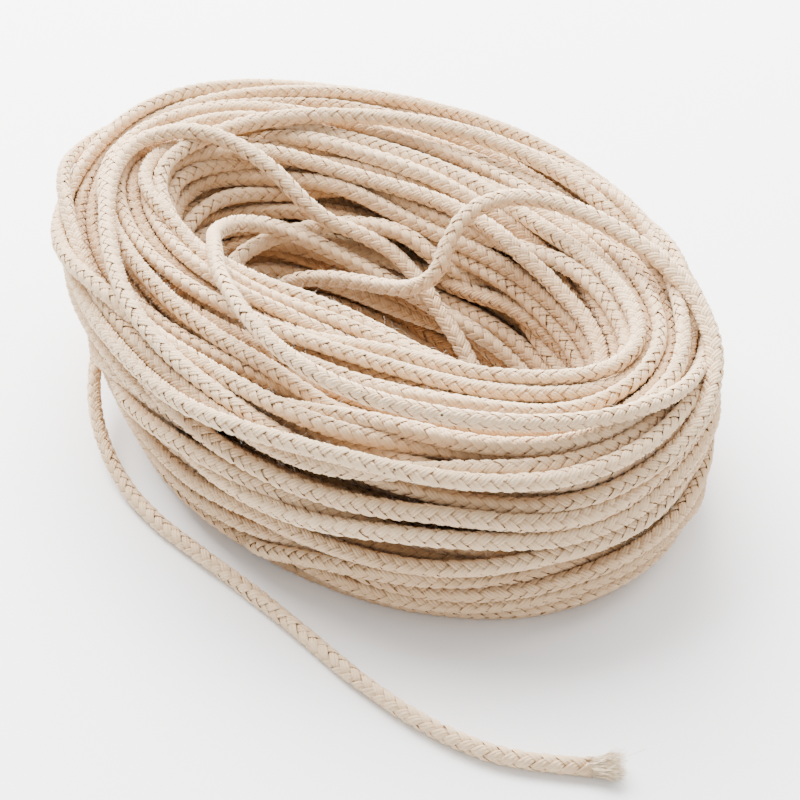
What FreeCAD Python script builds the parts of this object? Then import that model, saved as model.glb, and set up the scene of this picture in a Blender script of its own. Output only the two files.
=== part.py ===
"""Hand-wound coil of thin plaited cotton cord, lying flat, with one loose end.

Units are millimetres and +Z is up. The origin is the middle of the bounding box at table level.
The cord is one continuous piece. Each solid is one stretch of it: the coil (the outer shape of
all its turns, with the hole through it left open), the tail that lies on the table, and the
frayed tuft at the tail's tip.
"""
import FreeCAD, Part
import math
import os

# ---- driving dimensions ----
CORD_D = 5.0                 # diameter of the plaited cord
CORD_R = CORD_D / 2
WALL_TURN = -43.0            # degrees from +X to the long axis of the coil's outline
HOLE_TURN = -33.0            # degrees from +X to the long axis of the hole

# The coil's outline at a few heights: height, centre x, centre y, half length, half width.
# It leans: the upper turns overhang at the back left, and the top edge is rounded.
WALL_LEVELS = [
    (0.0, 9.0, 11.0, 93.0, 69.0),
    (10.0, 8.5, 12.0, 100.0, 78.0),
    (30.0, 5.0, 18.0, 107.0, 81.5),
    (48.0, -1.0, 25.0, 111.5, 84.0),
    (58.0, -3.0, 27.0, 109.0, 80.0),
    (66.0, -3.0, 27.0, 99.0, 68.0),
]
# The hole narrows downwards, because the lower turns are wound smaller.
HOLE_LEVELS = [
    (-2.0, -0.5, 6.0, 56.0, 28.0),
    (18.0, 0.5, 9.0, 62.0, 30.0),
    (45.0, 2.5, 20.0, 72.0, 32.0),
    (58.0, 3.5, 27.0, 82.0, 34.5),
    (67.0, 3.5, 27.0, 87.0, 39.5),
]

# The loose end: it leaves the coil's left wall, drops to the table and runs across the front.
TAIL_ROUTE = [
    (-82.5, 41.0, 20.0), (-86.5, 20.0, 15.0), (-84.5, 0.0, 9.0), (-75.5, -20.0, 4.0),
    (-62.0, -37.0, 2.5), (-43.5, -53.0, 2.5), (-24.0, -71.0, 2.5), (-2.5, -93.5, 2.5),
    (18.5, -110.0, 2.5), (38.5, -118.5, 2.5), (57.5, -119.5, 2.5),
]
TUFT_LENGTH = 9.0            # the opened strands beyond the last firm plait
TUFT_TIP_R = 3.6             # radius of the tuft at its open end
TUFT_RISE = 1.3              # how far the tuft's open end stands higher than its root


def level_wire(level, turn):
    """Closed oval outline at one height."""
    height, x, y, half_length, half_width = level
    oval = Part.Ellipse(FreeCAD.Vector(0, 0, 0), half_length, half_width)
    wire = Part.Wire([oval.toShape()])
    wire.rotate(FreeCAD.Vector(0, 0, 0), FreeCAD.Vector(0, 0, 1), turn)
    wire.translate(FreeCAD.Vector(x, y, height))
    return wire


def level_loft(levels, turn):
    """Solid through the ovals of a list of levels."""
    return Part.makeLoft([level_wire(level, turn) for level in levels], True, False)


def rounded_path(points):
    """Straight runs joined by tangent arcs, and the arcs' radii."""
    corners = [FreeCAD.Vector(*p) for p in points]
    edges, radii = [], []
    start = corners[0]
    for before, corner, after in zip(corners, corners[1:], corners[2:]):
        arrive, leave = corner - before, after - corner
        reach = 0.45 * min(arrive.Length, leave.Length)
        turn = arrive.getAngle(leave)
        radii.append(reach / math.tan(turn / 2))
        arrive.normalize()
        leave.normalize()
        first, last = corner - arrive * reach, corner + leave * reach
        inward = (leave - arrive).normalize()
        middle = corner + inward * (radii[-1] / math.cos(turn / 2) - radii[-1])
        edges.append(Part.LineSegment(start, first).toShape())
        edges.append(Part.Arc(first, middle, last).toShape())
        start = last
    edges.append(Part.LineSegment(start, corners[-1]).toShape())
    return Part.Wire(edges), radii


def cord_tube(points, name):
    """Plain round tube along a route; prints its radii and compares volume with section x length."""
    path, radii = rounded_path(points)
    corner_0, corner_1 = FreeCAD.Vector(*points[0]), FreeCAD.Vector(*points[1])
    ring = Part.Wire([Part.Circle(corner_0, corner_1 - corner_0, CORD_R).toShape()])
    tube = path.makePipeShell([ring], True, False)
    expected = math.pi * CORD_R ** 2 * path.Length
    print(name, "length %.1f mm" % path.Length, "radii", [round(r) for r in radii])
    print(name, "volume / (section x length) = %.4f" % (tube.Volume / expected))
    return tube


def make_coil():
    """The outer shape of the wound turns, with the hole right through it."""
    return level_loft(WALL_LEVELS, WALL_TURN).cut(level_loft(HOLE_LEVELS, HOLE_TURN))


def make_frayed_end():
    """The spread tuft where the plait has opened, widening from the cord's own section."""
    before, tip = FreeCAD.Vector(*TAIL_ROUTE[-2]), FreeCAD.Vector(*TAIL_ROUTE[-1])
    along = (tip - before).normalize()
    outline = []
    for step, radius in ((0.0, CORD_R), (0.5, 3.1), (1.0, TUFT_TIP_R)):
        centre = tip + along * (TUFT_LENGTH * step) + FreeCAD.Vector(0, 0, TUFT_RISE * step)
        outline.append(Part.Wire([Part.Circle(centre, along, radius).toShape()]))
    return Part.makeLoft(outline, True, False)


def save(shape, node):
    """Write one closed solid to parts/NODE.step."""
    solid = shape.Solids[0]
    assert len(shape.Solids) == 1 and solid.isValid() and solid.isClosed(), node
    box = solid.BoundBox
    print("%-12s x %.1f %.1f  y %.1f %.1f  z %.1f %.1f  volume %.0f" % (
        node, box.XMin, box.XMax, box.YMin, box.YMax, box.ZMin, box.ZMax, solid.Volume))
    solid.exportStep("parts/" + node + ".step")


os.makedirs("parts", exist_ok=True)
coil = make_coil()
save(coil, "coil")
save(cord_tube(TAIL_ROUTE, "tail").cut(coil), "tail")
save(make_frayed_end(), "frayed_end")
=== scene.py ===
"""Looks of the coiled cotton cord: its eight plaited strands, the frayed end, the fuzz and the studio.

Lengths are in metres. The cord is one line: loose turns, wound turns, tail. It is settled so that its
turns rest on each other, and the strands, the fuzz and the tuft are then built along it.
"""
import math

import bpy
import numpy as np
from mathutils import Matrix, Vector, kdtree
from mathutils.bvhtree import BVHTree


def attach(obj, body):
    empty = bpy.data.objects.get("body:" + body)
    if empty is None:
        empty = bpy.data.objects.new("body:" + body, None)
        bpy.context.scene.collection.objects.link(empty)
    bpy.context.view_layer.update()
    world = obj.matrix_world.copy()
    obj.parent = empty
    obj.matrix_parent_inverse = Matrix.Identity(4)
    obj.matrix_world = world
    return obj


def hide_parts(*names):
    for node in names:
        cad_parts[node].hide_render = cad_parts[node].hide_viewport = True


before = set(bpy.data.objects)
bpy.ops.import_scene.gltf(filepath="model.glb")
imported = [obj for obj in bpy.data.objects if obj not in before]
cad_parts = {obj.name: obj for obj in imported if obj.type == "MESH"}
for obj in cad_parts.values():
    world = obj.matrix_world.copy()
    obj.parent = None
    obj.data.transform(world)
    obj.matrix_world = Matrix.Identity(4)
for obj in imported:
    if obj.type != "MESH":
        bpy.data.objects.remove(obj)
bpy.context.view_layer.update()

# ---- the cord and the coil; the levels and the tail's route repeat the CAD model's ----
CORD_D = 0.005
CORD_R = CORD_D / 2
WALL_TURN = math.radians(-43)     # long axis of the coil's outline
HOLE_TURN = math.radians(-33)     # long axis of the hole
# height, centre x, centre y, half length, half width
WALL_LEVELS = [
    (0.0000, 0.0090, 0.0110, 0.0930, 0.0690),
    (0.0100, 0.0085, 0.0120, 0.1000, 0.0780),
    (0.0300, 0.0050, 0.0180, 0.1070, 0.0815),
    (0.0480, -0.0010, 0.0250, 0.1115, 0.0840),
    (0.0580, -0.0030, 0.0270, 0.1090, 0.0800),
    (0.0660, -0.0030, 0.0270, 0.0990, 0.0680),
]
HOLE_LEVELS = [
    (-0.0020, -0.0005, 0.0060, 0.0560, 0.0280),
    (0.0180, 0.0005, 0.0090, 0.0620, 0.0300),
    (0.0450, 0.0025, 0.0200, 0.0720, 0.0320),
    (0.0580, 0.0035, 0.0270, 0.0820, 0.0345),
    (0.0670, 0.0035, 0.0270, 0.0870, 0.0395),
]
# The upper front rim's middle bulges into the hole.
FRONT_BULGE = 0.30                # how far it goes in, as a share of the hole's half width
BULGE_AT = math.radians(-68)      # its direction in the hole's own frame
BULGE_REACH = 0.65                # radians to each side in which it dies away
BULGE_HEIGHTS = (0.025, 0.050)    # where it starts and where it is full
WOUND_HEIGHT = 0.0560             # of the wound turns, before the loose ones lie on them
# The loose turns, from the end hidden in the coil.
LOOSE_ROUTE = [
    # hidden in the wall at the back right
    (0.0350, 0.0350, 0.0300), (0.0220, 0.0450, 0.0380),
    # first loop: sags across the back of the hole and dives at its left front
    (0.0110, 0.0495, 0.0430), (-0.0010, 0.0555, 0.0410), (-0.0130, 0.0585, 0.0390),
    (-0.0250, 0.0570, 0.0375), (-0.0370, 0.0520, 0.0365), (-0.0460, 0.0420, 0.0350),
    (-0.0480, 0.0310, 0.0310), (-0.0420, 0.0190, 0.0250), (-0.0280, 0.0050, 0.0200),
    (-0.0090, -0.0080, 0.0170), (0.0130, -0.0180, 0.0150),
    # second loop: leaves the front wall, crosses the hole and climbs to the back rim
    (0.0280, -0.0160, 0.0150), (0.0340, -0.0030, 0.0170), (0.0300, 0.0120, 0.0210),
    (0.0220, 0.0260, 0.0260), (0.0140, 0.0390, 0.0320), (0.0060, 0.0475, 0.0370),
    (-0.0030, 0.0525, 0.0400), (-0.0120, 0.0530, 0.0420), (-0.0200, 0.0560, 0.0460),
    (-0.0270, 0.0620, 0.0520), (-0.0360, 0.0690, 0.0570), (-0.0480, 0.0750, 0.0600),
    # over the left rim and down the front wall
    (-0.0630, 0.0770, 0.0610), (-0.0760, 0.0710, 0.0615), (-0.0800, 0.0550, 0.0620),
    (-0.0790, 0.0350, 0.0625), (-0.0750, 0.0130, 0.0620), (-0.0680, -0.0060, 0.0590),
    (-0.0570, -0.0210, 0.0560), (-0.0390, -0.0380, 0.0520), (-0.0140, -0.0540, 0.0470),
    (0.0160, -0.0640, 0.0430), (0.0460, -0.0680, 0.0410), (0.0730, -0.0570, 0.0420),
    (0.0890, -0.0370, 0.0470), (0.0940, -0.0170, 0.0540),
    # the arch over the right rim, which curls down into the hole and goes back across it
    (0.0910, 0.0010, 0.0580), (0.0820, 0.0130, 0.0610), (0.0690, 0.0260, 0.0630),
    (0.0550, 0.0350, 0.0645), (0.0410, 0.0390, 0.0645), (0.0300, 0.0370, 0.0620),
    (0.0225, 0.0310, 0.0570), (0.0210, 0.0255, 0.0490), (0.0170, 0.0210, 0.0430),
    (0.0070, 0.0250, 0.0390), (-0.0050, 0.0330, 0.0360), (-0.0190, 0.0400, 0.0325),
    (-0.0310, 0.0420, 0.0280), (-0.0390, 0.0360, 0.0210), (-0.0360, 0.0240, 0.0150),
    (-0.0230, 0.0070, 0.0110), (-0.0050, -0.0080, 0.0090), (0.0170, -0.0190, 0.0080),
    (0.0390, -0.0230, 0.0080), (0.0530, -0.0150, 0.0090), (0.0550, -0.0010, 0.0120),
    (0.0460, 0.0130, 0.0170), (0.0300, 0.0260, 0.0230), (0.0060, 0.0410, 0.0290),
    (-0.0190, 0.0520, 0.0370), (-0.0380, 0.0540, 0.0440), (-0.0480, 0.0440, 0.0485),
    # up over the hole's edge at the left and along the front rim
    (-0.0490, 0.0310, 0.0520), (-0.0470, 0.0175, 0.0575), (-0.0435, 0.0045, 0.0615),
    (-0.0385, -0.0080, 0.0640), (-0.0315, -0.0215, 0.0650), (-0.0225, -0.0345, 0.0655),
    (-0.0100, -0.0450, 0.0650), (0.0050, -0.0520, 0.0640), (0.0240, -0.0560, 0.0625),
    (0.0460, -0.0560, 0.0605), (0.0655, -0.0500, 0.0580), (0.0810, -0.0390, 0.0555),
    # and once round along the rim, to where the wound turns start
    (0.0910, -0.0220, 0.0500), (0.0960, -0.0030, 0.0490), (0.0910, 0.0170, 0.0500),
    (0.0780, 0.0410, 0.0530), (0.0560, 0.0640, 0.0570), (0.0290, 0.0800, 0.0600),
    (-0.0020, 0.0870, 0.0610), (-0.0340, 0.0870, 0.0600), (-0.0570, 0.0780, 0.0580),
    (-0.0680, 0.0630, 0.0550),
]
# The tail: it leaves the coil's left wall, drops to the table and runs across the front.
TAIL_ROUTE = [
    (-0.0825, 0.0410, 0.0200), (-0.0865, 0.0200, 0.0150), (-0.0845, 0.0000, 0.0090),
    (-0.0755, -0.0200, 0.0040), (-0.0620, -0.0370, 0.0025), (-0.0435, -0.0530, 0.0025),
    (-0.0240, -0.0710, 0.0025), (-0.0025, -0.0935, 0.0025), (0.0185, -0.1100, 0.0025),
    (0.0385, -0.1185, 0.0025), (0.0575, -0.1195, 0.0025),
]

# ---- how the coil is wound; "up" is 0 to 1 from its bottom to its top, "across" from hole to wall ----
TURNS = 94
LAYER_TURNS = 12                  # turns from the bottom of the coil to its top
OUTER_LAYER = TURNS / LAYER_TURNS - 0.3    # number of the layer that lies at the outer wall
POINTS_PER_TURN = 48
START_AZIMUTH = math.radians(205)
STEP_FROM, STEP_OVER = 0.9, 0.1   # share of a layer after which it steps out, and in which it does so
PRESS_UP, PRESS_ACROSS = 1.10, 1.12        # turns are spread past the walls, then pressed flat on them
EASE_TURNS = 0.4                  # both ends run true for about this many turns
# random wandering over two turns, half a turn and a sixteenth of a turn
WANDER_UP, WANDER_ACROSS = (0.06, 0.095, 0.019), (0.06, 0.095, 0.020)
OUTER_WAVE = 0.07                 # the outer turns also climb and fall about four times a turn
OUTER_GAIN, OUTER_START = 2.5, 1.2         # that wave grows from about the middle of the wall outwards
INNER_LEAN = 0.10                 # the innermost turns lie low at the right end of the hole
LEAN_AZIMUTH = math.radians(170)
SLIDE_TURNS = 1.3                 # the last turns slide down the outer wall to where the tail leaves it
TAIL_LEAVES = 0.36                # how far up that is

# ---- how it settles; shares are of the way gone in one round ----
UPWARD = np.array((0.0, 0.0, 1.0))
ROUGH, SMOOTH = 6, 8              # points per span of the line before and after settling
SPACING = 0.005                   # between the points that the settling moves
ROUNDS = 700
TOUCH = 0.0046                    # between the lines of two turns that touch, pressed a little flat
CROWD = 0.0058                    # nearer than this, turns drift apart and so fill the gaps
DRIFT = 0.12                      # share of that gap
DRIFT_START, DRIFT_FADE = 2, 2.5  # the drift is full at first, then fades away before the last rounds
PAIR_REACH = 0.0096               # segments nearer than this are watched as pairs
PAIR_ROUNDS = 20                  # the pairs are found anew after this many rounds
NEIGHBOURS = 3                    # segments this near along the cord are no pair
NEARLY_THROUGH = 0.4 * CORD_D     # lines this near push straight up and down
EAGER = 1.5                       # a push goes this many times as far as one pair asks
PULL = 0.4                        # share of a stretch taken back at each end of a segment
SINK = 0.00001                    # per round, under the cord's own weight
STIFF = 0.2                       # share of the way back to a bend's first shape
WALL_EASE = 0.3                   # share of the way back between the hole and the wall
WELL_INSIDE = 0.2                 # share of the hole's size inside which that direction isn't trusted
HOLD_TURNS, HOLD_LOOSE = 0.0030, 0.03      # shares of the way back to the first place
LOOSE_POINTS, END_POINTS = 1000, 200       # the loose turns end and the tail begins within these many points
GRIP, BLEND = 3, 20               # points before the tail that are fixed, and that ease into that

# ---- the plait ----
STRANDS = 8                       # four turn one way and four the other
LEAD = 0.0150                     # length in which one strand goes once round the cord
MID_R, SWING = 0.00155, 0.00050   # radius of a strand's path: middle, and how far it goes out and in
DWELL = 1.25                      # above 1, a strand stays out and in for longer than it takes to change
HALF_THICK = 0.00060              # half the thickness of a strand
FILL = 1.04                       # width of a strand against its share of the cord's round
WIDE, NARROW = 1.06, 0.88         # the plait is hollow, so the cord is a little flat
# outline of a strand: across from -1 to 1, and out from the cord; its three yarns show as ridges
STRAND_OUTLINE = np.array([
    (-1.02, -0.05), (-0.68, 0.68), (-0.36, 0.38), (0.0, 1.0), (0.36, 0.38), (0.68, 0.68),
    (1.02, -0.05), (0.45, -0.85), (-0.45, -0.85)])
GROOVES = (0, 2, 4, 6)            # points of the outline that lie between yarns
# random changes along the cord: about one new value in this length, and its size
PHASE_CHANGE = (0.010, 0.06)      # radians round the cord
RADIUS_CHANGE = (0.006, 0.00006)
WIDTH_CHANGE = (0.012, 0.05)      # of a strand's width
TWIST_CHANGE = (0.12, 1.5)        # radians by which the whole cord has rolled
SIZE_CHANGE = (0.05, 0.02)        # of the cord's thickness
TIP_SWELL, TIP_SWELL_LENGTH = 0.14, 0.0025  # the plait loosens just before the frayed tip
CREASE_R, CROWN_RISE = 0.0012, 0.0013       # the attribute "height" is 0 at this radius and 1 this much out; it sets the painted crease shade

# ---- how much open air each stretch sees, and how finely it is built ----
BLOCKER_SIDES, BLOCKER_R = 5, 0.85 * CORD_R    # the plain tube that stops the rays
RAYS = 14                         # directions tried at each point, square to the cord
RAY_START, RAY_LENGTH = 1.05, 0.3    # start is from the cord's middle, in its radii
LOWEST_RAY = -0.6                 # rays steeper down than this only meet the table
FINE_RINGS, COARSE_RINGS = 15, 4  # strand rings per lead, in sight and hidden
SEEN_GAIN = 6                     # a sixth of the directions open is enough for all the rings
STATION_STEP = 0.0005             # in which the rings' places are worked out
LINE_STEP = 4                     # every fourth point of the line is tried
SMOOTH_RINGS = 25                 # rings over which the open air's share is averaged

# ---- the frayed end: yarns that part and curl, and single fibres among them ----
YARNS = dict(count=90, root=0.0019, spread=(0.45, 1.05), reach=(0.0060, 0.0092), curl=0.0006,
             thick=(0.00020, 0.00032), thinner=0.6, late=3, sides=5)
HAIRS = dict(count=500, root=0.0021, spread=(0.3, 1.3), reach=(0.0060, 0.0105), curl=0.0007,
             thick=(0.00004, 0.00008), thinner=0.5, late=1, sides=3)
TUFT_INSIDE = 0.0030              # the yarns start this far back in the plait
TUFT_RISE = 0.0013                # how far the tuft's open end stands higher than its root
WAVES = (3, 7)                    # radians that a yarn's curl goes through
CLEAR_OF_TABLE = 0.00005

# ---- the fuzz: short loose fibres ----
FUZZ_FIBRES = 26000
FUZZ_ROOT = CORD_R * 0.84         # from the cord's middle, just under its surface
FUZZ_LENGTH, FUZZ_THICK = (0.0008, 0.0028), (0.000018, 0.000030)
FUZZ_LEAN = 1.2                   # most that a fibre leans along the cord against outwards
FUZZ_CURL, FUZZ_TRAIL = 0.4, 0.3  # how far its end turns aside, and on along the cord
FUZZ_ABOVE_TABLE = 0.00004

# ---- the looks ----
# painted shade: the plait is tan where a strand dives under the others and pale on its crowns
PAINTED_CREASE_SHADE = [(0.10, (0.56, 0.37, 0.21)), (0.50, (0.70, 0.50, 0.31)),
                   (0.80, (0.78, 0.58, 0.37)), (1.0, (0.82, 0.635, 0.42))]
# painted shade: darker where little open air reaches the cord, deep in the hole and between the turns
PAINTED_SHELTER_SHADE = [(0.10, (0.54, 0.41, 0.29)), (0.42, (1.0, 1.0, 1.0))]
STREAKS, STREAK_STRENGTH = (60, 900, 1), 0.5      # noise round a strand and per metre along it
PATCHES, PATCH_TINT, PATCH_STRENGTH = 45, (0.90, 0.78, 0.64), 0.5    # the first is noise per metre
GRAIN = 5200                      # noise per metre
HUSK_CELLS, HUSK, HUSK_SIZE = 95, (0.12, 0.07, 0.035), 0.058   # specks of seed husk: cells per metre
HUSK_RAGGED = 0.045               # how far the grain eats into a speck, in cells like its size
RELIEF_GRAIN = 0.35               # share of the grain in the relief, against the streaks
CORD_RELIEF, YARN_RELIEF = (0.8, 0.00016), (0.5, 0.0001)    # strength, and depth
YARN_PATCHES, YARN_GRAIN = 900, 6000      # noise per metre
YARN_PALE, YARN_DULL = (0.86, 0.74, 0.55), (0.62, 0.45, 0.27)
FUZZ_PALE, FUZZ_DULL = (0.92, 0.86, 0.78), (0.85, 0.76, 0.64)
TABLE_COLOUR, TABLE_HALF_SIDE = (0.92, 0.92, 0.92), 3.0
WORLD_LIGHT = 1.14
# name, place, size, power
LAMPS = (("key", (-0.35, 0.95, 0.95), 1.4, 175), ("fill", (0.8, 0.5, 0.9), 0.8, 14))
CAMERA_TARGET, CAMERA_DISTANCE = (0.0080, -0.0120, 0.028), 0.462
CAMERA_HEIGHT = math.radians(43)  # above the table, as an angle
CAMERA_LENS, CAMERA_SENSOR = 72, 36

rng = np.random.default_rng(9)


# ---- the cord's line ----
def bulge(levels, height, azimuth):
    """Share of the plain oval's size, which is less than 1 where the rim bulges into the hole."""
    if levels is WALL_LEVELS:
        return 1.0
    away = (azimuth - BULGE_AT + math.pi) % (2 * math.pi) - math.pi
    return 1 - FRONT_BULGE * np.interp(height, BULGE_HEIGHTS, (0, 1)) * np.exp(-(away / BULGE_REACH) ** 2)


def level_at(levels, height):
    """Centre x and y, half length and half width of an outline at these heights."""
    table = np.array(levels)
    return (np.interp(height, table[:, 0], table[:, i]) for i in range(1, 5))


def oval(levels, turn, height, azimuth):
    """Points of a coil outline at these heights and azimuths, as an array of x, y."""
    x, y, a, b = level_at(levels, height)
    size = bulge(levels, height, azimuth)
    u, v = a * size * np.cos(azimuth), b * size * np.sin(azimuth)
    return np.stack([x + u * math.cos(turn) - v * math.sin(turn),
                     y + u * math.sin(turn) + v * math.cos(turn)], axis=-1)


def in_section(azimuth, across, up):
    """Places in the coil: across is 0 at the hole and 1 at the outer wall, up is 0 to 1."""
    height = CORD_R + up * (WOUND_HEIGHT - CORD_D)
    outer = oval(WALL_LEVELS, WALL_TURN, height, azimuth)
    inner = oval(HOLE_LEVELS, HOLE_TURN, height, azimuth)
    wall = outer - inner
    thickness = np.linalg.norm(wall, axis=-1)
    share = (CORD_R + across * (thickness - CORD_D)) / thickness
    return np.column_stack([inner + wall * share[:, None], height])


def wander(count, step, size):
    """Smooth random change over count samples, with a new value about every step samples."""
    knots = rng.normal(0, size, int(count / step) + 5)
    where = np.arange(count) / step + 1
    i = where.astype(int)
    f = where - i
    p0, p1, p2, p3 = knots[i - 1], knots[i], knots[i + 1], knots[i + 2]
    return 0.5 * (2 * p1 + (p2 - p0) * f + (2 * p0 - 5 * p1 + 4 * p2 - p3) * f ** 2
                  + (3 * p1 - p0 - 3 * p2 + p3) * f ** 3)


def smooth_step(x):
    """From 0 to 1 without a corner at either end."""
    return x * x * (3 - 2 * x)


def untidy(count, sizes):
    """Random wandering of the turns at three scales."""
    steps = (2 * POINTS_PER_TURN, POINTS_PER_TURN / 2, POINTS_PER_TURN / 16)
    return sum(wander(count, step, size) for step, size in zip(steps, sizes))


def coil_turns():
    """Points of the hand-wound turns: layer outside layer, each falling or climbing in turn."""
    count = TURNS * POINTS_PER_TURN
    turn = np.arange(count) / POINTS_PER_TURN
    azimuth = 2 * math.pi * turn + START_AZIMUTH
    layer_no = turn / LAYER_TURNS
    layer = np.floor(layer_no)
    part = layer_no - layer
    up = np.where(layer % 2 == 0, 1 - part, part)
    step_out = np.clip((part - STEP_FROM) / STEP_OVER, 0, 1)
    across = (layer + step_out) / OUTER_LAYER
    ease = np.clip(np.minimum(turn, TURNS - turn) / EASE_TURNS, 0, 1)
    up = 0.5 + (up - 0.5) * PRESS_UP + ease * untidy(count, WANDER_UP)
    up += INNER_LEAN * np.cos(azimuth - LEAN_AZIMUTH) * (1 - across)
    across = 0.5 + (across - 0.5) * PRESS_ACROSS + ease * untidy(count, WANDER_ACROSS)
    outermost = np.clip(OUTER_GAIN * across - OUTER_START, 0, 1)
    up += ease * outermost * wander(count, POINTS_PER_TURN / 4, OUTER_WAVE)
    slide = smooth_step(np.clip((turn - TURNS + SLIDE_TURNS) / SLIDE_TURNS, 0, 1))
    up += slide * (TAIL_LEAVES - up)
    across += slide * (1 - across)
    return in_section(azimuth, np.clip(across, 0, 1), np.clip(up, 0, 1))


def nurbs_line(control, fine):
    """An open NURBS spline with these control points, read back as a dense line."""
    data = bpy.data.curves.new("line", "CURVE")
    data.dimensions = "3D"
    spline = data.splines.new("NURBS")
    spline.points.add(len(control) - 1)
    spline.points.foreach_set("co", np.column_stack([control, np.ones(len(control))]).ravel())
    spline.order_u = 3
    spline.use_endpoint_u = True
    spline.resolution_u = fine
    obj = bpy.data.objects.new("line", data)
    bpy.context.scene.collection.objects.link(obj)
    bpy.context.view_layer.update()
    mesh = bpy.data.meshes.new_from_object(obj)
    dense = np.empty(3 * len(mesh.vertices))
    mesh.vertices.foreach_get("co", dense)
    bpy.data.meshes.remove(mesh)
    bpy.data.objects.remove(obj)
    return dense.reshape(-1, 3)


def running_length(points):
    """Length along a line from its start to each of its points."""
    return np.concatenate([[0], np.cumsum(np.linalg.norm(np.diff(points, axis=0), axis=1))])


def at_lengths(values, along, want):
    """Rows of values, known at the lengths along, at the lengths wanted."""
    return np.column_stack([np.interp(want, along, values[:, i]) for i in range(values.shape[1])])


def nearest(points, place):
    """Number of the point nearest to a place."""
    return int(np.argmin(np.linalg.norm(points - np.array(place), axis=1)))


def near_pairs(points, reach):
    """Pairs of segments, not neighbours along the cord, whose middles are within reach."""
    middles = (points[1:] + points[:-1]) / 2
    tree = kdtree.KDTree(len(middles))
    for i, p in enumerate(middles):
        tree.insert(p, i)
    tree.balance()
    return np.array([(i, j) for i, p in enumerate(middles) for _, j, _ in tree.find_range(p, reach)
                     if j > i + NEIGHBOURS])


def closest(p, q, pairs):
    """Where each pair of segments comes closest: shares along both, and the gap vector."""
    i, j = pairs[:, 0], pairs[:, 1]
    a, b = p[i], p[j]
    u, v, w = q[i], q[j], a - b
    uu, vv, uv = (u * u).sum(1), (v * v).sum(1), (u * v).sum(1)
    uw, vw = (u * w).sum(1), (v * w).sum(1)
    det = uu * vv - uv * uv
    crossing = det > 1e-4 * uu * vv         # the others are as good as parallel
    s = np.clip(np.where(crossing, (uv * vw - vv * uw) / np.maximum(det, 1e-20), 0.5), 0, 1)
    t = np.clip((uv * s + vw) / vv, 0, 1)
    s = np.clip((uv * t - uw) / uu, 0, 1)
    return s, t, w + u * s[:, None] - v * t[:, None]


def keep_in_wall(points):
    """Ease points back between the coil's hole and its outer wall, in place."""
    for levels, turn, room in ((WALL_LEVELS, WALL_TURN, -CORD_R), (HOLE_LEVELS, HOLE_TURN, CORD_R)):
        x, y, a, b = level_at(levels, points[:, 2])
        dx, dy = points[:, 0] - x, points[:, 1] - y
        u = (dx * math.cos(turn) + dy * math.sin(turn)) / (a + room)
        v = (dy * math.cos(turn) - dx * math.sin(turn)) / (b + room)
        r = np.maximum(np.hypot(u, v), WELL_INSIDE) / bulge(levels, points[:, 2], np.arctan2(v, u))
        scale = 1 / np.maximum(r, 1) if room < 0 else 1 / np.minimum(r, 1)
        points[:, 0] += dx * (scale - 1) * WALL_EASE
        points[:, 1] += dy * (scale - 1) * WALL_EASE


def push_apart(p, pairs, drift):
    """Move touching turns apart in place by one round's share; drift also spreads turns only close."""
    q = np.diff(p, axis=0)
    s, t, gap = closest(p, q, pairs)
    length = np.linalg.norm(gap, axis=1)
    push = np.maximum(np.clip(TOUCH - length, 0, None), np.clip(CROWD - length, 0, None) * DRIFT * drift)
    hit = push > 0
    i, j, s, t = pairs[hit, 0], pairs[hit, 1], s[hit], t[hit]
    way = gap[hit] / np.maximum(length[hit], 1e-9)[:, None]
    through = length[hit] < NEARLY_THROUGH
    way[through] = np.where(gap[hit][through, 2:] > 0, 1.0, -1.0) * UPWARD
    away = way * (0.5 * push[hit])[:, None]
    weight = np.zeros(len(p))
    move = np.zeros((len(p), 3))
    for index, share, sign in ((i, 1 - s, 1), (i + 1, s, 1), (j, 1 - t, -1), (j + 1, t, -1)):
        weight += np.bincount(index, share, len(p))
        for axis in range(3):
            move[:, axis] += np.bincount(index, sign * share * away[:, axis], len(p))
    p += move * (EAGER / np.maximum(weight, 1.0))[:, None]


def settle(home, hold, coil):
    """The cord at rest: its turns push apart to about one diameter, sink a little and lie on the table.

    Hold is each point's share of the way back home in one round; coil is the slice of wound turns.
    """
    p = home.copy()
    rest = np.linalg.norm(np.diff(home, axis=0), axis=1)
    home_bend = (home[2:] + home[:-2]) / 2 - home[1:-1]
    for step in range(ROUNDS):
        if step % PAIR_ROUNDS == 0:
            pairs = near_pairs(p, PAIR_REACH)
        p[:, 2] -= SINK
        push_apart(p, pairs, min(1.0, max(0.0, DRIFT_START - DRIFT_FADE * step / ROUNDS)))
        q = np.diff(p, axis=0)
        fix = q * (PULL * (1 - rest / np.linalg.norm(q, axis=1)))[:, None]
        p[:-1] += fix
        p[1:] -= fix
        p[1:-1] += STIFF * ((p[2:] + p[:-2]) / 2 - p[1:-1] - home_bend)
        keep_in_wall(p[coil])
        p += hold[:, None] * (home - p)
        p[:, 2] = np.maximum(p[:, 2], CORD_R)
    return p


def cord_line():
    """The whole cord's line, from the end hidden in the coil to the frayed tip, as dense points."""
    turns = coil_turns()
    wound = nurbs_line(np.vstack([LOOSE_ROUTE, turns, TAIL_ROUTE]), ROUGH)
    along = running_length(wound)
    line = at_lengths(wound, along, np.linspace(0, along[-1], int(along[-1] / SPACING)))
    first = nearest(line[:LOOSE_POINTS], turns[0])
    fixed = len(line) - END_POINTS + nearest(line[-END_POINTS:], TAIL_ROUTE[0]) - GRIP
    hold = np.full(len(line), HOLD_TURNS)
    hold[:first] = HOLD_LOOSE
    hold[fixed:] = 1.0
    hold[fixed - BLEND:fixed] = np.linspace(HOLD_TURNS, 1.0, BLEND) ** 2
    line = settle(line, hold, slice(first, fixed))
    return nurbs_line(np.vstack([line[:fixed:2], TAIL_ROUTE]), SMOOTH)


# ---- the plaited strands ----
def unit(vectors):
    """Rows scaled to length 1."""
    return vectors / np.linalg.norm(vectors, axis=1)[:, None]


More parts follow.
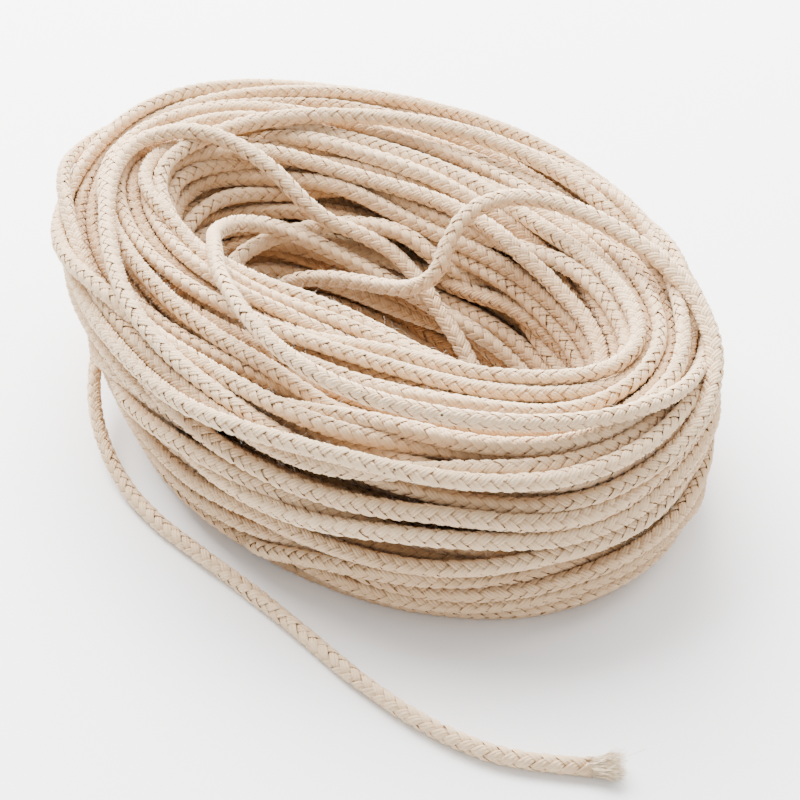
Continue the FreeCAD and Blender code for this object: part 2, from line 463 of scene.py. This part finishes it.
def untwisted_sides(points):
    """Tangents, and side directions that turn with the line but never about it."""
    tangents = unit(np.gradient(points, axis=0))
    before = Vector(tangents[0])
    side = before.orthogonal().normalized()
    sides = np.empty_like(points)
    for i, tangent in enumerate(tangents):
        now = Vector(tangent)
        side = before.rotation_difference(now) @ side
        side = (side - now * side.dot(now)).normalized()
        sides[i] = side
        before = now
    return tangents, sides


def quad_rings(count, sides, offset=0):
    """Faces that join count rings of as many points each."""
    base = offset + np.arange(count - 1)[:, None] * sides
    k = np.arange(sides)[None, :]
    after = (k + 1) % sides
    return np.stack([base + k, base + after, base + sides + after, base + sides + k], -1).reshape(-1, 4)


def exposure(points):
    """Share of the directions square to the cord in which each point, or one near it, sees open air."""
    tangents, sides = untwisted_sides(points)
    others = np.cross(tangents, sides)
    around = np.arange(BLOCKER_SIDES) * 2 * math.pi / BLOCKER_SIDES
    ring = points[:, None] + BLOCKER_R * (np.cos(around)[None, :, None] * sides[:, None]
                                          + np.sin(around)[None, :, None] * others[:, None])
    faces = quad_rings(len(points), BLOCKER_SIDES)
    tree = BVHTree.FromPolygons(ring.reshape(-1, 3).tolist(), faces.tolist())
    open_air = np.zeros(len(points))
    for angle in np.arange(RAYS) * 2 * math.pi / RAYS:
        outward = math.cos(angle) * sides + math.sin(angle) * others
        start = points + outward * CORD_R * RAY_START
        for i in np.nonzero(outward[:, 2] > LOWEST_RAY)[0]:
            if tree.ray_cast(start[i], outward[i], RAY_LENGTH)[0] is None:
                open_air[i] += 1
    open_air /= RAYS
    return np.maximum.reduce([np.roll(open_air, shift) for shift in (-2, -1, 0, 1, 2)])


def stations(length, seen_at, seen):
    """Places for the strands' rings: close together where the cord is seen."""
    fine = np.arange(0, length, STATION_STEP)
    in_sight = np.clip(np.interp(fine, seen_at, seen) * SEEN_GAIN, 0, 1)
    density = (COARSE_RINGS + (FINE_RINGS - COARSE_RINGS) * in_sight) / LEAD
    total = np.concatenate([[0], np.cumsum(density * STATION_STEP)])[:-1]
    return np.interp(np.arange(int(total[-1])), total, fine)


def wobble(s, step, size):
    """Smooth random change along the cord, about one new value every step metres."""
    knots = rng.normal(0, size, int(s[-1] / step) + 3)
    where = s / step
    i = where.astype(int)
    f = smooth_step(where - i)
    return knots[i] * (1 - f) + knots[i + 1] * f


def strand_rings(number, s, swell):
    """One strand's rings about a straight cord: along, and two directions square to it.

    It goes over two and under two of the strands that turn the other way.
    """
    hand = 1 if number < STRANDS // 2 else -1
    phase = (number % 4) * math.pi / 2 + (0 if hand > 0 else math.pi / 4)
    phi = hand * 2 * math.pi * s / LEAD + phase + wobble(s, *PHASE_CHANGE)
    out = hand * np.sin(np.clip(DWELL * np.cos(2 * phi), -1, 1) * math.pi / 2)
    radius = MID_R + SWING * out + wobble(s, *RADIUS_CHANGE)
    slant = np.arctan(2 * math.pi * radius / LEAD)
    half_width = LEAD / STRANDS * np.sin(slant) * FILL * (1 + wobble(s, *WIDTH_CHANGE))
    outward = np.column_stack([np.zeros_like(s), np.cos(phi), np.sin(phi)])
    sideways = np.column_stack([np.zeros_like(s), -np.sin(phi), np.cos(phi)]) * hand
    across = sideways * np.cos(slant)[:, None] - np.array([1.0, 0, 0]) * np.sin(slant)[:, None]
    ring = (radius[:, None, None] * outward[:, None]
            + half_width[:, None, None] * across[:, None] * STRAND_OUTLINE[None, :, :1]
            + HALF_THICK * outward[:, None] * STRAND_OUTLINE[None, :, 1:])
    ring[..., 1:] *= swell[:, None, None]
    return ring


def join_tubes(name, tubes, grooves=()):
    """One mesh of closed tubes, each an array of rings; UV runs round and along each tube.

    The shading is split along the grooves, which are numbers of a ring's points.
    """
    vertices, quads, caps, uvs, offset = [], [], [], [], 0
    for rings, along in tubes:
        count, sides = rings.shape[:2]
        vertices.append(rings.reshape(-1, 3))
        quads.append(quad_rings(count, sides, offset))
        caps.append(offset + np.arange(sides)[::-1])
        caps.append(offset + np.arange(sides) + (count - 1) * sides)
        k = np.tile(np.arange(sides), count - 1)
        i = np.repeat(np.arange(count - 1), sides)
        around = np.stack([k, k + 1, k + 1, k], -1) / sides
        lengthwise = np.stack([along[i], along[i], along[i + 1], along[i + 1]], -1)
        uvs.append(np.stack([around, lengthwise], -1))
        offset += count * sides
    quads = np.vstack(quads)
    loops = np.concatenate([quads.ravel(), *caps])
    sizes = np.concatenate([np.full(len(quads), 4), [len(cap) for cap in caps]])
    mesh = bpy.data.meshes.new(name)
    mesh.vertices.add(offset)
    mesh.vertices.foreach_set("co", np.vstack(vertices).ravel())
    mesh.loops.add(len(loops))
    mesh.loops.foreach_set("vertex_index", loops)
    mesh.polygons.add(len(sizes))
    mesh.polygons.foreach_set("loop_start", np.concatenate([[0], np.cumsum(sizes)[:-1]]))
    mesh.polygons.foreach_set("use_smooth", np.ones(len(sizes), bool))
    uv = np.zeros((len(loops), 2))
    uv[:4 * len(quads)] = np.vstack([u.reshape(-1, 2) for u in uvs])
    mesh.uv_layers.new(name="yarn").uv.foreach_set("vector", uv.ravel())
    mesh.update(calc_edges=True)
    if grooves:
        ends = np.empty(2 * len(mesh.edges), np.int32)
        mesh.edges.foreach_get("vertices", ends)
        ends = ends.reshape(-1, 2) % len(STRAND_OUTLINE)
        sharp = (ends[:, 0] == ends[:, 1]) & np.isin(ends[:, 0], grooves)
        mesh.attributes.new("sharp_edge", "BOOLEAN", "EDGE").data.foreach_set("value", sharp)
    obj = bpy.data.objects.new(name, mesh)
    bpy.context.scene.collection.objects.link(obj)
    return obj


def set_values(mesh, name, values):
    """One number at each vertex, for the material to read."""
    mesh.attributes.new(name, "FLOAT", "POINT").data.foreach_set("value", values)


def make_strands(dense, s, open_air):
    """The eight strands as flattened tubes round the cord's line, with rings at the places s."""
    along = running_length(dense)
    tangents, sides = untwisted_sides(dense)
    place, tangent, side = (at_lengths(values, along, s) for values in (dense, tangents, sides))
    tangent = unit(tangent)
    side = unit(side - tangent * (side * tangent).sum(1)[:, None])
    other = np.cross(tangent, side)
    twist = wobble(s, *TWIST_CHANGE)
    swell = 1 + wobble(s, *SIZE_CHANGE) + TIP_SWELL * np.exp((s - s[-1]) / TIP_SWELL_LENGTH)
    cos, sin = np.cos(twist)[:, None], np.sin(twist)[:, None]
    strands = []
    for number in range(STRANDS):
        ring = strand_rings(number, s, swell)
        # each point's height out from the cord's middle, which drives the painted crease shade
        height = (np.hypot(ring[..., 1], ring[..., 2]) - CREASE_R) / CROWN_RISE
        a = (ring[..., 1] * cos + ring[..., 2] * sin) * WIDE
        b = (ring[..., 2] * cos - ring[..., 1] * sin) * NARROW
        ring = (place[:, None] + ring[..., :1] * tangent[:, None] + a[..., None] * side[:, None]
                + b[..., None] * other[:, None])
        strand = join_tubes("strand_%d" % (number + 1), [(ring, s)], GROOVES)
        set_values(strand.data, "height", height.ravel())
        # the smoothed share of open air; the material paints shade where it is low
        set_values(strand.data, "open_air", np.repeat(open_air, ring.shape[1]))
        strands.append(strand)
    return strands


# ---- the frayed end and the fuzz ----
def fibre(points, radii, sides):
    """Rings of a thin fibre along a few points."""
    tangents = unit(np.gradient(points, axis=0))
    side = Vector(tangents[0]).orthogonal().normalized()
    a = unit(np.cross(tangents, np.array(side)))
    b = np.cross(tangents, a)
    turn = np.arange(sides) * 2 * math.pi / sides
    return points[:, None] + radii[:, None, None] * (np.cos(turn)[None, :, None] * a[:, None]
                                                     + np.sin(turn)[None, :, None] * b[:, None])


def stray_fibre(tip, ahead, right, up):
    """The one longer fibre that rises above the tuft."""
    reach, inside, root, rise, aside = 0.0125, 0.001, 0.0020, 0.0065, -0.0006
    length, thick = 0.013, 0.00009
    f = np.linspace(0, 1, 10)
    line = (tip + ahead * (reach * f - inside)[:, None] + up * (root + rise * f ** 1.6)[:, None]
            + right * (aside * f)[:, None])
    return fibre(line, thick * (1 - 0.5 * f), 4), f * length


def make_frayed_end(dense):
    """The opened tip: yarn ends that part and curl, and single fibres that spread wider."""
    tip = dense[-1]
    ahead = unit((dense[-1:] - dense[-3:-2]))[0]
    right = unit(np.cross(ahead, UPWARD)[None])[0]
    up = np.cross(right, ahead)
    tubes = []
    f = np.linspace(0, 1, 8)
    for kind in [YARNS] * YARNS["count"] + [HAIRS] * HAIRS["count"]:
        angle = rng.uniform(0, 2 * math.pi)
        root = math.sqrt(rng.uniform(0, 1)) * kind["root"]
        spread = root * rng.uniform(*kind["spread"])
        reach = rng.uniform(*kind["reach"])
        out = root + spread * f ** 1.5
        curl = rng.normal(0, kind["curl"], 2)
        wave = np.sin(f * rng.uniform(*WAVES))
        line = (tip + ahead * (reach * f - TUFT_INSIDE)[:, None]
                + right * (math.cos(angle) * out + curl[0] * wave * f)[:, None]
                + up * (math.sin(angle) * out + curl[1] * wave * f + TUFT_RISE * f * f)[:, None])
        radii = rng.uniform(*kind["thick"]) * (1 - kind["thinner"] * f ** kind["late"])
        line[:, 2] = np.maximum(line[:, 2], radii + CLEAR_OF_TABLE)
        tubes.append((fibre(line, radii, kind["sides"]), f * reach))
    tubes.append(stray_fibre(tip, ahead, right, up))
    return join_tubes("frayed_yarns", tubes)


def make_fuzz(dense, s, open_air):
    """Short loose fibres that stand off the cord, more of them where more open air reaches it."""
    along = running_length(dense)
    weight = open_air * np.gradient(s)
    chosen = np.interp(rng.uniform(0, weight.sum(), FUZZ_FIBRES), np.cumsum(weight), s)
    place = at_lengths(dense, along, chosen)
    ahead = unit(at_lengths(dense, along, chosen + 0.001) - at_lengths(dense, along, chosen - 0.001))
    side = unit(np.cross(ahead, unit(rng.normal(0, 1, ahead.shape))))
    tubes = []
    length = rng.uniform(*FUZZ_LENGTH, FUZZ_FIBRES)
    lean = rng.uniform(-FUZZ_LEAN, FUZZ_LEAN, FUZZ_FIBRES)
    curl = unit(rng.normal(0, 1, ahead.shape))
    thick = rng.uniform(*FUZZ_THICK, FUZZ_FIBRES)
    f = np.array([0, 0.35, 0.7, 1.0])[:, None]
    for i in range(FUZZ_FIBRES):
        way = side[i] + ahead[i] * lean[i]
        way /= math.sqrt(way @ way)
        bend = curl[i] * FUZZ_CURL + ahead[i] * lean[i] * FUZZ_TRAIL
        line = (place[i] + side[i] * FUZZ_ROOT + way * (length[i] * f * (1 - 0.35 * f))
                + bend * (length[i] * f * f))
        line[:, 2] = np.maximum(line[:, 2], FUZZ_ABOVE_TABLE)
        tubes.append((fibre(line, thick[i] * (1 - 0.6 * f[:, 0]), 3), f[:, 0] * length[i]))
    return join_tubes("cotton_fuzz", tubes)


# ---- materials ----
def new_material(name):
    """A material, its nodes and links, and its shader."""
    mat = bpy.data.materials.new(name)
    mat.use_nodes = True
    return mat, mat.node_tree.nodes, mat.node_tree.links, mat.node_tree.nodes["Principled BSDF"]


def ramp(nodes, stops):
    """A colour ramp with these stops."""
    node = nodes.new("ShaderNodeValToRGB")
    while len(node.color_ramp.elements) < len(stops):
        node.color_ramp.elements.new(0.5)
    for element, (where, colour) in zip(node.color_ramp.elements, stops):
        element.position = where
        element.color = (*colour, 1)
    return node


def maths(nodes, links, operation, a, b):
    """One operation on two numbers or sockets."""
    node = nodes.new("ShaderNodeMath")
    node.operation = operation
    for socket, value in zip(node.inputs, (a, b)):
        if isinstance(value, (int, float)):
            socket.default_value = value
        else:
            links.new(value, socket)
    return node.outputs[0]


def noise(nodes, links, vector, scale, detail):
    """Noise between 0 and 1."""
    node = nodes.new("ShaderNodeTexNoise")
    node.inputs["Scale"].default_value = scale
    node.inputs["Detail"].default_value = detail
    links.new(vector, node.inputs["Vector"])
    return node.outputs["Fac"]


def tint(nodes, links, colour, factor, other, blend):
    """A colour blended with another; factor is a number or a socket, other a colour or a socket."""
    node = nodes.new("ShaderNodeMix")
    node.data_type = "RGBA"
    node.blend_type = blend
    if isinstance(factor, float):
        node.inputs["Factor"].default_value = factor
    else:
        links.new(factor, node.inputs["Factor"])
    links.new(colour, node.inputs[6])
    if isinstance(other, tuple):
        node.inputs[7].default_value = (*other, 1)
    else:
        links.new(other, node.inputs[7])
    return node.outputs[2]


def cotton(shader):
    """Matt and slightly hairy."""
    shader.inputs["Roughness"].default_value = 0.92
    shader.inputs["Specular IOR Level"].default_value = 0.25
    shader.inputs["Sheen Weight"].default_value = 0.12
    shader.inputs["Sheen Roughness"].default_value = 0.6
    shader.inputs["Sheen Tint"].default_value = (1.0, 0.95, 0.88, 1)


def bumpy(nodes, links, shader, height, strength, distance):
    """Fine relief on the surface."""
    bump = nodes.new("ShaderNodeBump")
    bump.inputs["Strength"].default_value = strength
    bump.inputs["Distance"].default_value = distance
    links.new(height, bump.inputs["Height"])
    links.new(bump.outputs["Normal"], shader.inputs["Normal"])


def attribute(nodes, name):
    """The number that the mesh holds at each vertex under this name."""
    node = nodes.new("ShaderNodeAttribute")
    node.attribute_name = name
    return node.outputs["Fac"]


def plaited_cotton():
    """Undyed cotton with specks of seed husk, and painted shade: tan in the plait's creases, pale on its
    crowns.

    The painted shade also darkens it where little open air reaches it, deep in the hole and between the
    turns.
    """
    mat, nodes, links, shader = new_material("plaited_cotton")
    cotton(shader)
    place = nodes.new("ShaderNodeTexCoord").outputs["Object"]
    uv = nodes.new("ShaderNodeUVMap")
    uv.uv_map = "yarn"
    stretch = nodes.new("ShaderNodeMapping")
    stretch.inputs["Scale"].default_value = STREAKS
    links.new(uv.outputs["UV"], stretch.inputs["Vector"])
    streaks = noise(nodes, links, stretch.outputs["Vector"], 1.0, 3)
    patches = noise(nodes, links, place, PATCHES, 3)
    grain = noise(nodes, links, place, GRAIN, 2)
    uneven = maths(nodes, links, "SUBTRACT", streaks, 0.5)
    uneven = maths(nodes, links, "MULTIPLY", uneven, STREAK_STRENGTH)
    # painted crease shade: the ramp on the strand's height, made uneven by the random streaks
    level = maths(nodes, links, "ADD", attribute(nodes, "height"), uneven)
    shade = ramp(nodes, PAINTED_CREASE_SHADE)
    links.new(level, shade.inputs["Fac"])
    patchy = maths(nodes, links, "MULTIPLY", patches, PATCH_STRENGTH)
    colour = tint(nodes, links, shade.outputs["Color"], patchy, PATCH_TINT, "MULTIPLY")
    cells = nodes.new("ShaderNodeTexVoronoi")
    cells.inputs["Scale"].default_value = HUSK_CELLS
    links.new(place, cells.inputs["Vector"])
    ragged = maths(nodes, links, "MULTIPLY", grain, HUSK_RAGGED)
    away = maths(nodes, links, "ADD", cells.outputs["Distance"], ragged)
    speck = maths(nodes, links, "LESS_THAN", away, HUSK_SIZE)
    colour = tint(nodes, links, colour, speck, HUSK, "MIX")
    # painted shade where little open air reaches the strands, multiplied into the colour
    shelter_shade = ramp(nodes, PAINTED_SHELTER_SHADE)
    links.new(attribute(nodes, "open_air"), shelter_shade.inputs["Fac"])
    colour = tint(nodes, links, colour, 1.0, shelter_shade.outputs["Color"], "MULTIPLY")
    links.new(colour, shader.inputs["Base Color"])
    relief = maths(nodes, links, "ADD", streaks, maths(nodes, links, "MULTIPLY", grain, RELIEF_GRAIN))
    bumpy(nodes, links, shader, relief, *CORD_RELIEF)
    return mat


def loose_cotton(name, pale, dull):
    """Opened yarns and single fibres: a little uneven in colour."""
    mat, nodes, links, shader = new_material(name)
    cotton(shader)
    place = nodes.new("ShaderNodeTexCoord").outputs["Object"]
    patches = noise(nodes, links, place, YARN_PATCHES, 3)
    shade = ramp(nodes, [(0.3, dull), (0.65, pale)])
    links.new(patches, shade.inputs["Fac"])
    links.new(shade.outputs["Color"], shader.inputs["Base Color"])
    bumpy(nodes, links, shader, noise(nodes, links, place, YARN_GRAIN, 2), *YARN_RELIEF)
    return mat


# ---- camera, light and table ----
def camera_and_light():
    """The photograph's viewing angle, and plain soft light."""
    scene = bpy.context.scene
    cam = bpy.data.cameras.new("camera")
    cam.lens = CAMERA_LENS
    cam.sensor_width = CAMERA_SENSOR
    obj = bpy.data.objects.new("camera", cam)
    back = Vector((0, -math.cos(CAMERA_HEIGHT), math.sin(CAMERA_HEIGHT)))
    obj.location = Vector(CAMERA_TARGET) + back * CAMERA_DISTANCE
    obj.rotation_euler = (math.pi / 2 - CAMERA_HEIGHT, 0, 0)
    scene.collection.objects.link(obj)
    scene.camera = obj
    world = bpy.data.worlds.new("studio")
    world.use_nodes = True
    background = world.node_tree.nodes["Background"]
    background.inputs["Color"].default_value = (1.0, 1.0, 1.0, 1)
    background.inputs["Strength"].default_value = WORLD_LIGHT
    scene.world = world
    for name, place, size, power in LAMPS:
        light = bpy.data.lights.new(name, "AREA")
        light.size = size
        light.energy = power
        lamp = bpy.data.objects.new(name, light)
        lamp.location = place
        lamp.rotation_euler = Vector(place).to_track_quat("Z", "Y").to_euler()
        scene.collection.objects.link(lamp)


def floor():
    """The plain pale table."""
    mesh = bpy.data.meshes.new("table_top")
    a = TABLE_HALF_SIDE
    mesh.from_pydata([(-a, -a, 0), (a, -a, 0), (a, a, 0), (-a, a, 0)], [], [(0, 1, 2, 3)])
    obj = bpy.data.objects.new("table_top", mesh)
    bpy.context.scene.collection.objects.link(obj)
    mat, _, _, shader = new_material("pale_table")
    shader.inputs["Base Color"].default_value = (*TABLE_COLOUR, 1)
    shader.inputs["Roughness"].default_value = 0.8
    mesh.materials.append(mat)


# ---- the scene ----
camera_and_light()
floor()
dense = cord_line()
along = running_length(dense)
length = float(along[-1])
seen = exposure(dense[::LINE_STEP])
s = stations(length, along[::LINE_STEP], seen)
open_air = np.interp(s, along[::LINE_STEP], seen)
smoothed = np.convolve(open_air, np.ones(SMOOTH_RINGS) / SMOOTH_RINGS, "same")
strands = make_strands(dense, s, smoothed)
tuft = make_frayed_end(dense)
fuzz = make_fuzz(dense, s, open_air)
cotton_mat = plaited_cotton()
for strand in strands:
    strand.data.materials.append(cotton_mat)
    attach(strand, "root")
tuft.data.materials.append(loose_cotton("frayed_cotton", YARN_PALE, YARN_DULL))
fuzz.data.materials.append(loose_cotton("fuzz_cotton", FUZZ_PALE, FUZZ_DULL))
for piece, slot in ((tuft, "frayed_cotton"), (fuzz, "cotton_cord")):
    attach(piece, "root")
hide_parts("coil", "tail")
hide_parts("frayed_end")
